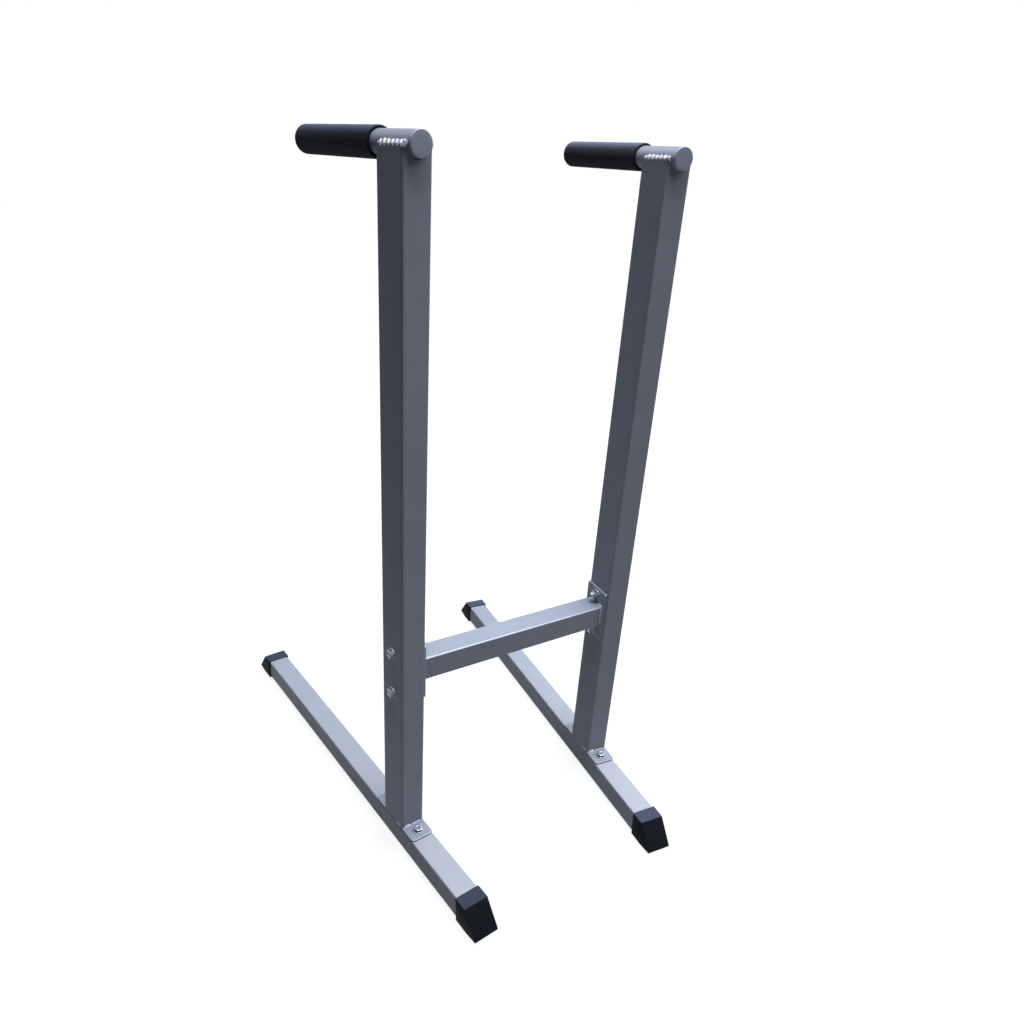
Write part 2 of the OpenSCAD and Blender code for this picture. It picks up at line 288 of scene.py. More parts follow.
class Surface(Wiring):
    """A principled material while it is being wired, placed by each object's own coordinates."""

    def __init__(self, name: str) -> None:
        """Starts a material.

        Args:
            name: The material's name.
        """
        self.material = bpy.data.materials.new(name)
        self.material.use_nodes = True
        super().__init__(self.material.node_tree)
        self.shader = self.tree.nodes["Principled BSDF"]
        own = self.node("TexCoord").outputs
        self.place = own["Object"]
        self.facing = own["Normal"]

    def speckle(self, size: float, detail: float = 2.0, roughness: float = 0.5) -> Socket:
        """Noise between 0 and 1, whose largest spots are as wide as size, in metres."""
        return self.node("TexNoise", Vector=self.place, Scale=1 / size, Detail=detail,
                         Roughness=roughness).outputs["Fac"]

    def cells(self, size: float) -> Socket:
        """Distance from the middle of the nearest cell of a size in metres, for pores and grain."""
        return self.node("TexVoronoi", Vector=self.place, Scale=1 / size).outputs["Distance"]

    def part(self, vector: Socket, axis: str) -> Socket:
        """One of the three parts of a vector."""
        return self.node("SeparateXYZ", Vector=vector).outputs[axis]

    def upward(self, start: float, end: float, most: float | Socket = 1.0) -> Socket:
        """How far a face looks up: 0 where its normal rises by start, and the most where it rises by end."""
        return self.spread(self.part(self.facing, "Z"), 0, most, start, end)

    def upper_corner(self, most: float) -> Socket:
        """Share of painted highlight, and of metal, on rounded corners that face up and sideways, 0 on flat
        sides.
        """
        return self.node("Math", operation="MULTIPLY", _0=self.upward(0.25, 0.6, most),
                         _1=self.upward(0.99, 0.93)).outputs["Value"]

    def relief(self, height: Socket, depth: float, below: Socket | None = None) -> Socket:
        """The normal of a bump of a depth in metres, on top of the coarser relief below it, if any."""
        ground = {"Normal": below} if below else {}
        return self.node("Bump", Height=height, Distance=depth, **ground).outputs["Normal"]


@dataclass(frozen=True)
class Finish(ABC):
    """A finish, with the names of its material and its slot."""

    name: str
    slot: str

    @abstractmethod
    def wire(self, w: Surface) -> None:
        """Wires the finish's nodes into its material."""

    @cache
    def material(self) -> bpy.types.Material:
        """Makes the finish's material, once.

        Returns:
            The material, the same one for equal finishes.
        """
        w = Surface(self.name)
        self.wire(w)
        return w.material

    def dress(self, thing: bpy.types.Object) -> None:
        """Gives an object this finish alone."""
        thing.data.materials.clear()
        thing.data.materials.append(self.material())


@dataclass(frozen=True)
class FramePaint(Finish):
    """Silver grey paint, baked on: satin, with a fine fleck and a faint orange peel.

    It can take a painted highlight on rounded corners that face up and sideways, where it also turns partly
    metal, a painted shade along a crest, and painted light on level faces that fades from the front to the
    rear.
    """

    name: str = "silver_grey_paint"
    slot: str = "frame_paint"
    gloss: float = 0.04
    colour: Rgb = (0.395, 0.43, 0.50)
    shade: Rgb = (0.365, 0.395, 0.46)
    fleck: Rgb = (0.47, 0.51, 0.585)
    # Painted highlight: rounded corners that face up and sideways are lightened, and partly turned metal.
    wear_and_highlight: float = 0.0
    rubbed_metal: float = 0.3
    highlight_colour: Rgb = (0.60, 0.64, 0.71)
    # Painted light: level faces are lightened, most at the front and fading towards the rear.
    front_light: float = 0.0
    front_light_colour: Rgb = (0.66, 0.67, 0.69)
    front_light_ends: Pair = (0.35, -0.3)
    # Painted shade: faces that look up are darkened along the crest.
    painted_crest_shade: float = 0.0
    crest_shade_colour: Rgb = (0.20, 0.22, 0.26)

    def wire(self, w: Surface) -> None:
        """Wires the paint.

        Args:
            w: The paint's material.
        """
        cloud = w.tint(w.spread(w.speckle(60 * MM, 3), 0, 1), self.colour, self.shade)
        colour = w.tint(w.spread(w.speckle(1.6 * MM, 3, 0.7), 0, 0.5, 0.45, 0.75), cloud, self.fleck)
        # Painted light on level faces, stronger towards the front.
        if self.front_light:
            share = w.spread(w.part(w.place, "Y"), 0, self.front_light, *self.front_light_ends)
            colour = w.tint(w.upward(0.9, 0.99, share), colour, self.front_light_colour)
        # Painted shade along the crest.
        if self.painted_crest_shade:
            colour = w.tint(w.upward(0.6, 0.92, self.painted_crest_shade), colour, self.crest_shade_colour)
        # Painted highlight on rounded corners that face up and sideways.
        if self.wear_and_highlight:
            colour = w.tint(w.upper_corner(self.wear_and_highlight), colour, self.highlight_colour)
            w.feed(w.shader, Metallic=w.upper_corner(self.rubbed_metal))
        peel = w.relief(w.speckle(3.5 * MM, 2), 0.05 * MM)
        w.feed(w.shader, Base_Color=colour, Specular_IOR_Level=self.gloss,
               Roughness=w.spread(w.speckle(12 * MM), 0.34, 0.44),
               Normal=w.relief(w.speckle(0.9 * MM), 0.02 * MM, peel))


@dataclass(frozen=True)
class CapRubber(Finish):
    """Moulded black rubber with a fine grain, lightened on faces that look up by a painted highlight."""

    name: str = "moulded_rubber"
    slot: str = "cap_rubber"
    colour: Rgb = (0.0098, 0.0106, 0.0155)
    scuffed: Rgb = (0.0165, 0.0175, 0.0245)
    # Painted highlight: colour of faces that look up.
    top_highlight: Rgb = (0.056, 0.067, 0.092)

    def wire(self, w: Surface) -> None:
        """Wires the rubber.

        Args:
            w: The rubber's material.
        """
        rubber = w.tint(w.spread(w.speckle(9 * MM, 4, 0.6), 0, 1), self.colour, self.scuffed)
        draft = w.node("TexWave", bands_direction="X", Vector=w.place, Scale=1 / (11 * MM), Distortion=0.6)
        lines = w.relief(draft.outputs["Fac"], 0.06 * MM)
        # Painted highlight on faces that look up.
        w.feed(w.shader, Base_Color=w.tint(w.upward(0.8, 0.98), rubber, self.top_highlight), Specular_IOR_Level=0.02,
               Roughness=w.spread(w.speckle(5 * MM), 0.5, 0.68),
               Normal=w.relief(w.speckle(0.7 * MM), 0.06 * MM, lines))


@dataclass(frozen=True)
class GripFoam(Finish):
    """Closed-cell foam with fine open pores where its skin was cut, with a painted highlight above and
    painted shade below.
    """

    name: str = "grip_foam"
    slot: str = "grip_foam"
    colour: Rgb = (0.020, 0.021, 0.034)
    worn: Rgb = (0.030, 0.031, 0.046)
    # Painted highlight: colour of faces that look up.
    top_highlight: Rgb = (0.082, 0.10, 0.15)
    # Colour of the pores, and painted shade on faces that look down.
    pore_and_shade: Rgb = (0.008, 0.010, 0.016)

    def wire(self, w: Surface) -> None:
        """Wires the foam.

        Args:
            w: The foam's material.
        """
        pores = w.cells(0.9 * MM)
        colour = w.tint(w.spread(w.speckle(7 * MM, 4, 0.65), 0, 1), self.colour, self.worn)
        # Painted highlight on faces that look up, painted shade on faces that look down.
        lit_above = w.tint(w.upward(0.45, 0.97), colour, self.top_highlight)
        shaded_below = w.tint(w.upward(-0.1, -0.8, 0.9), lit_above, self.pore_and_shade)
        pitted = w.tint(w.spread(pores, 0.5, 0, 0.05, 0.35), shaded_below, self.pore_and_shade)
        swell = w.relief(w.speckle(6 * MM, 3), 0.25 * MM)
        w.feed(w.shader, Base_Color=pitted, Specular_IOR_Level=0.05,
               Roughness=w.spread(w.speckle(3 * MM), 0.7, 0.9), Normal=w.relief(pores, 0.12 * MM, swell))


@dataclass(frozen=True)
class ZincPlate(Finish):
    """Zinc plating with a faint blue and straw bloom, with painted reflections: upright faces dark, level
    faces dimmer, slopes brightest.
    """

    name: str = "zinc_plate"
    slot: str = "zinc_fastener"
    colour: Rgb = (0.60, 0.67, 0.78)
    bloom: Rgb = (0.74, 0.76, 0.73)
    # Painted reflections: colour of level faces, and the dark colour of upright faces.
    level: Rgb = (0.38, 0.44, 0.55)
    upright: Rgb = (0.075, 0.082, 0.115)

    def wire(self, w: Surface) -> None:
        """Wires the zinc.

        Args:
            w: The zinc's material.
        """
        bright = w.tint(w.spread(w.speckle(6 * MM, 3), 0, 1), self.colour, self.bloom)
        # Painted reflections: upright faces are painted dark and level faces dimmed, so slopes stay
        # brightest.
        below = w.tint(w.upward(-0.08, -0.5), self.upright, bright)
        painted_reflection = w.tint(w.upward(0.08, 0.5), below, bright)
        w.feed(w.shader, Base_Color=w.tint(w.upward(0.9, 0.99), painted_reflection, self.level), Metallic=1.0,
               Roughness=w.spread(w.speckle(2.5 * MM, 3), 0.3, 0.46),
               Normal=w.relief(w.speckle(0.8 * MM), 0.02 * MM))


@dataclass(frozen=True)
class BareWeld(Finish):
    """Weld metal left bright under a thin clear coat, darker where the arc burnt it."""

    name: str = "bare_weld"
    slot: str = "bare_weld"
    colour: Rgb = (0.66, 0.71, 0.80)
    burnt: Rgb = (0.26, 0.28, 0.36)

    def wire(self, w: Surface) -> None:
        """Wires the weld metal.

        Args:
            w: The weld metal's material.
        """
        colour = w.tint(w.spread(w.speckle(3.2 * MM, 4, 0.6), 0, 1, 0.5, 0.72), self.colour, self.burnt)
        w.feed(w.shader, Base_Color=colour, Metallic=0.25, Specular_IOR_Level=0.3,
               Roughness=w.spread(w.speckle(1.8 * MM, 3), 0.22, 0.42),
               Normal=w.relief(w.speckle(1.1 * MM, 3), 0.12 * MM))


@dataclass(frozen=True)
class PlugPlastic(Finish):
    """Black moulded plastic with a fine spark-eroded grain."""

    name: str = "plug_plastic"
    slot: str = "plug_plastic"
    colour: Rgb = (0.016, 0.016, 0.018)
    wear_and_highlight: Rgb = (0.030, 0.030, 0.033)

    def wire(self, w: Surface) -> None:
        """Wires the plastic.

        Args:
            w: The plastic's material.
        """
        colour = w.tint(w.spread(w.speckle(4 * MM, 3), 0, 1), self.colour, self.wear_and_highlight)
        w.feed(w.shader, Base_Color=colour, Specular_IOR_Level=0.35,
               Roughness=w.spread(w.speckle(1.5 * MM), 0.42, 0.56),
               Normal=w.relief(w.cells(0.5 * MM), 0.03 * MM))


@dataclass(frozen=True)
class Finishes:
    """Every finish of one side."""

    paint: Finish = FramePaint()
    # Painted highlight on rounded edges that face up.
    edge_highlight_paint: Finish = FramePaint("edge_highlight_paint", wear_and_highlight=1.0)
    # Painted light on level faces, lighter towards the front.
    front_lit_paint: Finish = FramePaint("front_lit_paint", front_light=0.5)
    # Painted shade along the top of the handle tube.
    handle_paint: Finish = FramePaint("handle_paint", painted_crest_shade=0.85)
    # The disc's rim takes a painted highlight.
    disc_paint: Finish = FramePaint("disc_paint", colour=(0.47, 0.512, 0.60), shade=(0.435, 0.47, 0.55),
                                    fleck=(0.55, 0.60, 0.69), wear_and_highlight=0.6, rubbed_metal=0.15)
    # Painted highlight: the paint over the welds is made far lighter than the frame's, so the beads shine.
    weld_highlight_paint: Finish = FramePaint("highlit_paint_over_weld", gloss=0.35, colour=(0.78, 0.83, 0.92),
                                    shade=(0.50, 0.54, 0.63), fleck=(0.86, 0.90, 0.96))
    foot_weld_highlight_paint: Finish = FramePaint("highlit_paint_over_foot_weld", gloss=0.6, colour=(0.95, 0.97, 1.0),
                                         shade=(0.66, 0.70, 0.79), fleck=(0.97, 0.98, 1.0))
    rubber: Finish = CapRubber()
    foam: Finish = GripFoam()
    zinc: Finish = ZincPlate()
    weld: Finish = BareWeld()
    plastic: Finish = PlugPlastic()

    @classmethod
    def of_side(cls, side: Side) -> "Finishes":
        """Picks the finishes of one side.

        Args:
            side: Which side; the right one's handle, grip and caps get lighter copies of their finishes,
                painted light.

        Returns:
            The finishes.
        """
        if side is Side.LEFT:
            return cls()
        # Painted light: the right side's handle paint, rubber and foam are lighter copies of the left's.
        return cls(
            handle_paint=FramePaint("right_lit_handle_paint", colour=(0.49, 0.53, 0.60),
                                    shade=(0.455, 0.49, 0.56), fleck=(0.57, 0.61, 0.69), painted_crest_shade=0.8),
            rubber=CapRubber("right_lit_rubber", colour=(0.0115, 0.0122, 0.0175), top_highlight=(0.080, 0.092, 0.128)),
            foam=GripFoam("right_lit_foam", colour=(0.044, 0.0405, 0.059), worn=(0.064, 0.058, 0.079),
                          top_highlight=(0.150, 0.173, 0.235)))


# Mesh forming


def add_object(name: str, data: bpy.types.ID) -> bpy.types.Object:
    """Stands an object in the scene.

    Args:
        name: The object's name.
        data: Its mesh, camera or lamp.

    Returns:
        The object.
    """
    thing = bpy.data.objects.new(name, data)
    bpy.context.scene.collection.objects.link(thing)
    return thing


def cut(thing: bpy.types.Object, tool: bpy.types.Mesh) -> None:
    """Cuts a tool's shape out of a piece and keeps the result as its mesh.

    Args:
        thing: The piece.
        tool: Closed mesh in the same frame.
    """
    cutter = add_object("cutter", tool)
    step = thing.modifiers.new("socket", "BOOLEAN")
    step.operation = "DIFFERENCE"
    step.solver = "EXACT"
    step.object = cutter
    shaped = thing.evaluated_get(bpy.context.evaluated_depsgraph_get())
    result = bpy.data.meshes.new_from_object(shaped)
    thing.modifiers.clear()
    thing.data = result
    bpy.data.objects.remove(cutter)


def dress_solid(node: str, finish: Finish) -> None:
    """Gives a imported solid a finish, and keeps its shape."""
    finish.dress(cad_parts[node])
    log.info("%s keeps its solid, in %s", node, finish.name)


class Former:
    """Collects the surface of one piece, laid out on its seat in a sub-assembly's axes."""

    def __init__(self, stand: Matrix | None = None) -> None:
        """Starts an empty surface on its seat, or on the sub-assembly's own origin."""
        self.mesh = bmesh.new()
        self.stand = stand or Matrix.Identity(4)

    def ring(self, places: Iterable[Vector]) -> list[bmesh.types.BMVert]:
        """Adds a row of points that closes on itself."""
        return [self.mesh.verts.new(self.stand @ place) for place in places]

    def band(self, first: Sequence[bmesh.types.BMVert], second: Sequence[bmesh.types.BMVert]) -> None:
        """Joins two rings of equal count with faces."""
        for i, (a, b) in enumerate(zip(first, second)):
            self.mesh.faces.new((first[i - 1], a, b, second[i - 1]))

    def loft(self, rows: Iterable[Iterable[Vector]], loop: bool = False) -> None:
        """Skins a body through rows of points.

        Args:
            rows: Rows of equal count.
            loop: Joins the last row to the first; otherwise each end gets a lid.
        """
        rings = [self.ring(row) for row in rows]
        for first, second in zip(rings, rings[1:]):
            self.band(first, second)
        if loop:
            self.band(rings[-1], rings[0])
        else:
            self.mesh.faces.new(rings[0])
            self.mesh.faces.new(rings[-1])

    def turn(self, profile: Sequence[Pair], count: int = 64, loop: bool = False) -> None:
        """Turns a profile of radii and heights round the z axis; with a loop it closes on itself."""
        self.loft((circle(radius, z, count) for radius, z in profile), loop)

    def plate(self, width: float, length: float, thickness: float, corner: float, edge: float,
              holes: Sequence[Pair]) -> None:
        """Makes a flat bar with round corners, softened edges and bolt holes, lying on z = 0.

        Args:
            width: Size along x.
            length: Size along y.
            thickness: Size along z.
            corner: Corner radius.
            edge: Radius of the softened edges.
            holes: Place of each hole.
        """
        rim = [(edge * (1 - math.sin(a)), edge * (1 - math.cos(a))) for a in arc(0, 90, 4)]
        rim += [(inset, thickness - z) for inset, z in reversed(rim)]
        rings = [self.ring(rounded_rectangle(width - 2 * inset, length - 2 * inset, corner - inset, z))
                 for inset, z in rim]
        for first, second in zip(rings, rings[1:]):
            self.band(first, second)
        faces = [[rings[0]], [rings[-1]]]
        for x, y in holes:
            bore = [self.ring(p + Vector((x, y, 0)) for p in circle(BOLT_HOLE, z, 32))
                    for z in (0, thickness)]
            self.band(*bore)
            for outlines, ring in zip(faces, bore):
                outlines.append(ring)
        for outlines in faces:
            edges = [self.mesh.edges.get((ring[i - 1], ring[i]))
                     for ring in outlines for i in range(len(ring))]
            bmesh.ops.triangle_fill(self.mesh, use_beauty=True, edges=edges)

    def data(self, name: str, to_row: Matrix) -> bpy.types.Mesh:
        """Turns the collected surface into mesh data in the row frame.

        Args:
            name: Name of the mesh.
            to_row: From the sub-assembly's axes to the row frame.

        Returns:
            The mesh, with its faces looking outwards.
        """
        bmesh.ops.recalc_face_normals(self.mesh, faces=self.mesh.faces)
        self.mesh.transform(to_row)
        if to_row.determinant() < 0:
            bmesh.ops.reverse_faces(self.mesh, faces=self.mesh.faces)
        made = bpy.data.meshes.new(name)
        self.mesh.to_mesh(made)
        self.mesh.free()
        return made


@dataclass(frozen=True)
class Bead:
    """A weld bead: a row of puddles laid over each other along a corner."""

    half_width: float
    height: float
    pitch: float
    groove: float
    weave: float = 0.0
    lag: float = 0.35
    uneven: float = 0.1
    tail: float = 0.0
    tail_end: float = 0.35
    bluntness: float = 0.02
    roundness: float = 0.4
    grain: float = 0.06
    grain_size: float = 1 / 900
    seed: int = 1
    facets: int = 20
    step: float = 0.45 * MM

    def lay(self, former: Former, run: Run) -> None:
        """Lays the bead along a run.

        Args:
            former: Where its surface goes.
            run: Points of the corner, each with the direction in which the bead crowns.
        """
        stations = self.stations(run)
        total = stations[-1][3]
        count = max(1, round(total / self.pitch))
        pitch = total / count
        chance = random.Random(self.seed)
        sizes = [1 + self.uneven * chance.uniform(-1, 1) for _ in range(count)]
        rows = []
        for centre, along, out, s in stations:
            side = along.cross(out)
            taper = min(1, math.sqrt(max(0, min(s, total - s)) / self.half_width + self.bluntness))
            if self.tail:
                taper *= self.tail_end + (1 - self.tail_end) * min(1, (total - s) / self.tail)
            drift = self.weave * taper * math.cos(2 * math.pi * s / pitch)
            row = []
            for k in range(self.facets):
                turn = 2 * math.pi * k / self.facets
                phase = s / pitch + self.lag * (1 - math.cos(turn))
                puddle = phase - math.floor(phase)
                dome = (4 * puddle * (1 - puddle)) ** self.roundness
                swell = taper * sizes[math.floor(phase) % count] * (1 - self.groove * (1 - dome))
                rough = noise.noise(centre / self.grain_size + Vector((turn, self.seed, 0)))
                swell *= 1 + self.grain * rough
                row.append(centre + out * (self.height * math.cos(turn) * swell)
                           + side * (self.half_width * math.sin(turn) * swell + drift))
            rows.append(row)
        former.loft(rows)

    def stations(self, run: Run) -> list[tuple[Vector, Vector, Vector, float]]:
        """Walks a run in even steps.

        Args:
            run: Points with their crown directions.

        Returns:
            Centre, direction, crown direction and length so far at each step.
        """
        lengths = lengths_along(run)
        total = lengths[-1]
        count = max(4, round(total / self.step))
        places = [point_along(run, lengths, total * i / count) for i in range(count + 1)]
        made = []
        for i, (centre, out) in enumerate(places):
            along = (places[min(i + 1, count)][0] - places[max(i - 1, 0)][0]).normalized()
            crown = (out - along * out.dot(along)).normalized()
            made.append((centre, along, crown, total * i / count))
        return made


# Fasteners


@dataclass(frozen=True)
class HexStock:
    """Hexagon heads and nuts, and the bolts' thread."""

    across_flats: float
    corner: float = 0.4 * MM
    flat_share: float = 0.475
    flat_points: tuple[float, ...] = (0.2, 0.4, 0.6, 0.8)
    chamfer: float = math.radians(30)
    radius: float = 4 * MM
    thread: float = 1.25 * MM
    thread_depth: float = 0.5 * MM
    thread_steps: int = 8
    thread_lead: float = 1.1
    thread_flank: float = 1.2
    runout: float = 0.4 * MM
    pad: float = 0.3 * MM
    dish: tuple[Pair, ...] = ((0.33, 0), (0.28, 0.45 * MM), (0.05, 0.6 * MM))
    nut_play: float = 0.08 * MM
    nut_lead: float = 0.7 * MM

    @property
    def flat(self) -> float:
        """Radius of the flat circle inside the chamfer."""
        return self.flat_share * self.across_flats

    def outline(self, z: float) -> list[Vector]:
        """Outlines the hexagon, with slightly round corners and points along its flats.

        Args:
            z: Height of the outline.

        Returns:
            The outline's points, anticlockwise.
        """
        reach = (self.across_flats / 2 - self.corner) / math.cos(math.radians(30))
        centres = [reach * spoke(a) for a in arc(0, 360, 6)]
        level = Vector((0, 0, z))
        points = []
        for k, (centre, ahead) in enumerate(zip(centres, centres[1:])):
            for a in arc(60 * k - 30, 60 * k + 30, 4):
                points.append(centre + self.corner * spoke(a) + level)
            out = self.corner * spoke(math.radians(60 * k + 30))
            for share in self.flat_points:
                points.append(centre.lerp(ahead, share) + out + level)
        return points

    def rays(self) -> list[Vector]:
        """Level directions from the axis to each point of the hexagon."""
        return [Vector((p.x, p.y, 0)).normalized() for p in self.outline(0)]

    def turned(self, *profile: Pair) -> list[list[Vector]]:
        """Circles of the given radii and heights, whose points lie on the hexagon's rays."""
        return [[ray * radius + Vector((0, 0, z)) for ray in self.rays()] for radius, z in profile]

    def chamfered(self, z: float, down: float) -> list[Vector]:
        """Outlines the flats' end, scalloped where the chamfer cuts the corners.

        Args:
            z: Height of the flat face.
            down: 1 where the body lies below that face, -1 where it lies above.

        Returns:
            The scalloped outline.
        """
        slope = down * math.tan(self.chamfer)
        return [p - Vector((0, 0, slope * max(0, math.hypot(p.x, p.y) - self.flat)))
                for p in self.outline(z)]

    def thread_rows(self, start: float, end: float) -> list[list[Vector]]:
        """Rows of a screw thread from a bolt's end upwards, its first turn chamfered.

        Args:
            start: Height of the bolt's end.
            end: Height where the thread stops.

        Returns:
            The rows, on the same rays as the hexagon's points.
        """
        rays = self.rays()
        count = math.ceil((end - start) / self.thread * self.thread_steps)
        rows = []
        for i in range(count + 1):
            z = start + (end - start) * i / count
            lead = min(1, (z - start) / self.thread)
            largest = self.radius - (1 - lead) * self.thread_lead * self.thread_depth
            row = []
            for ray in rays:
                phase = (z / self.thread - math.atan2(ray.y, ray.x) / (2 * math.pi)) % 1
                depth = min(1, self.thread_flank * (1 - abs(2 * phase - 1))) * self.thread_depth
                row.append(ray * min(largest, self.radius - depth) + Vector((0, 0, z)))
            rows.append(row)
        return rows

    def bolt(self, stand: Matrix, head: float, shank: float, threaded: float) -> Former:
        """Forges a bolt with its head's underside on its seat, and a dished top.

        Args:
            stand: The bolt's seat, z out through the head.
            head: Thickness of the head.
            shank: Length under the head.
            threaded: Length of thread at the end.

        Returns:
            The bolt's surface.
        """
        former = Former(stand)
        rows = self.thread_rows(-shank, -shank + threaded)
        rows += self.turned((self.radius, -shank + threaded + self.runout), (self.radius, 0),
                            (self.flat, 0), (self.flat, self.pad))
        rows += [self.chamfered(self.pad, -1), self.chamfered(head, 1)]
        rows += self.turned((self.flat, head), (self.flat - 0.5 * MM, head + 0.02 * MM),
                            *((share * self.across_flats, head - depth) for share, depth in self.dish))
        former.loft(rows)
        return former

    def nut(self, stand: Matrix, height: float) -> Former:
        """Cuts a nut that stands on its seat.

        Args:
            stand: The nut's seat, z away from what it is tightened on.
            height: Thickness of the nut.

        Returns:
            The nut's surface.
        """
        bore = self.radius + self.nut_play
        mouth = bore + self.nut_lead
        former = Former(stand)
        rows = self.turned((self.flat, 0))
        rows += [self.chamfered(0, -1), self.chamfered(height, 1)]
        rows += self.turned((self.flat, height), (mouth, height), (bore, height - self.nut_lead),
                            (bore, self.nut_lead), (mouth, 0))
        former.loft(rows, loop=True)
        return former


@dataclass(frozen=True)
class Washer:
    """A stamped washer, its rim rolled over on one side and sheared on the other."""

    radius: float
    thickness: float
    roll: float = 0.35
    burr: float = 0.1 * MM
    mouth: float = 0.2 * MM

    def press(self, former: Former) -> None:
        """Presses the washer on its seat.

        Args:
            former: Where its surface goes, with the washer's seat.
        """
        rim = round_edge(self.radius, self.thickness, self.roll * self.thickness, 90, 4)
        former.turn([(BOLT_HOLE, 0), (self.radius - self.burr, 0), (self.radius, self.burr), *rim,
                     (BOLT_HOLE + self.mouth, self.thickness), (BOLT_HOLE, self.thickness - self.mouth)],
                    loop=True)


# Sub-assemblies


@dataclass
class SidePart:
    """A sub-assembly of one side, built in its side frame's axes."""

    side: Side
    axes: Axes
    finishes: Finishes

    def named(self, word: str) -> str:
        """This side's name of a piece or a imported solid."""
        return f"{word}_{self.side.value}"

    def box(self, solid: str) -> Box:
        """Lowest and highest corner of one of this side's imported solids."""
        return self.axes.box(self.named(solid))

    def stand_up(self, former: Former, name: str) -> bpy.types.Object:
        """Stands a collected surface in the scene, under this side's name."""
        return add_object(self.named(name), former.data(self.named(name), self.axes.to_row))

    def hand_over(self, thing: bpy.types.Object, finish: Finish, solid: str,
                  crease: float = 32.0) -> bpy.types.Object:
        """Shades, dresses and seats a piece on the body.

        Args:
            thing: The piece, in place.
            finish: Its finish.
            solid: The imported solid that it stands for, without its side.
            crease: Angle in degrees above which an edge stays sharp.

        Returns:
            The same piece.
        """
        thing.data.shade_smooth()
        thing.data.set_sharp_from_angle(angle=math.radians(crease))
        finish.dress(thing)
        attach(thing, BODY)
        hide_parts(self.named(solid))
        log.info("%s stands for %s, in %s", thing.name, self.named(solid), finish.name)
        return thing

    def piece(self, former: Former, name: str, finish: Finish, solid: str,
              crease: float = 32.0) -> bpy.types.Object:
        """Stands a collected surface in the scene and hands it over."""
        return self.hand_over(self.stand_up(former, name), finish, solid, crease)


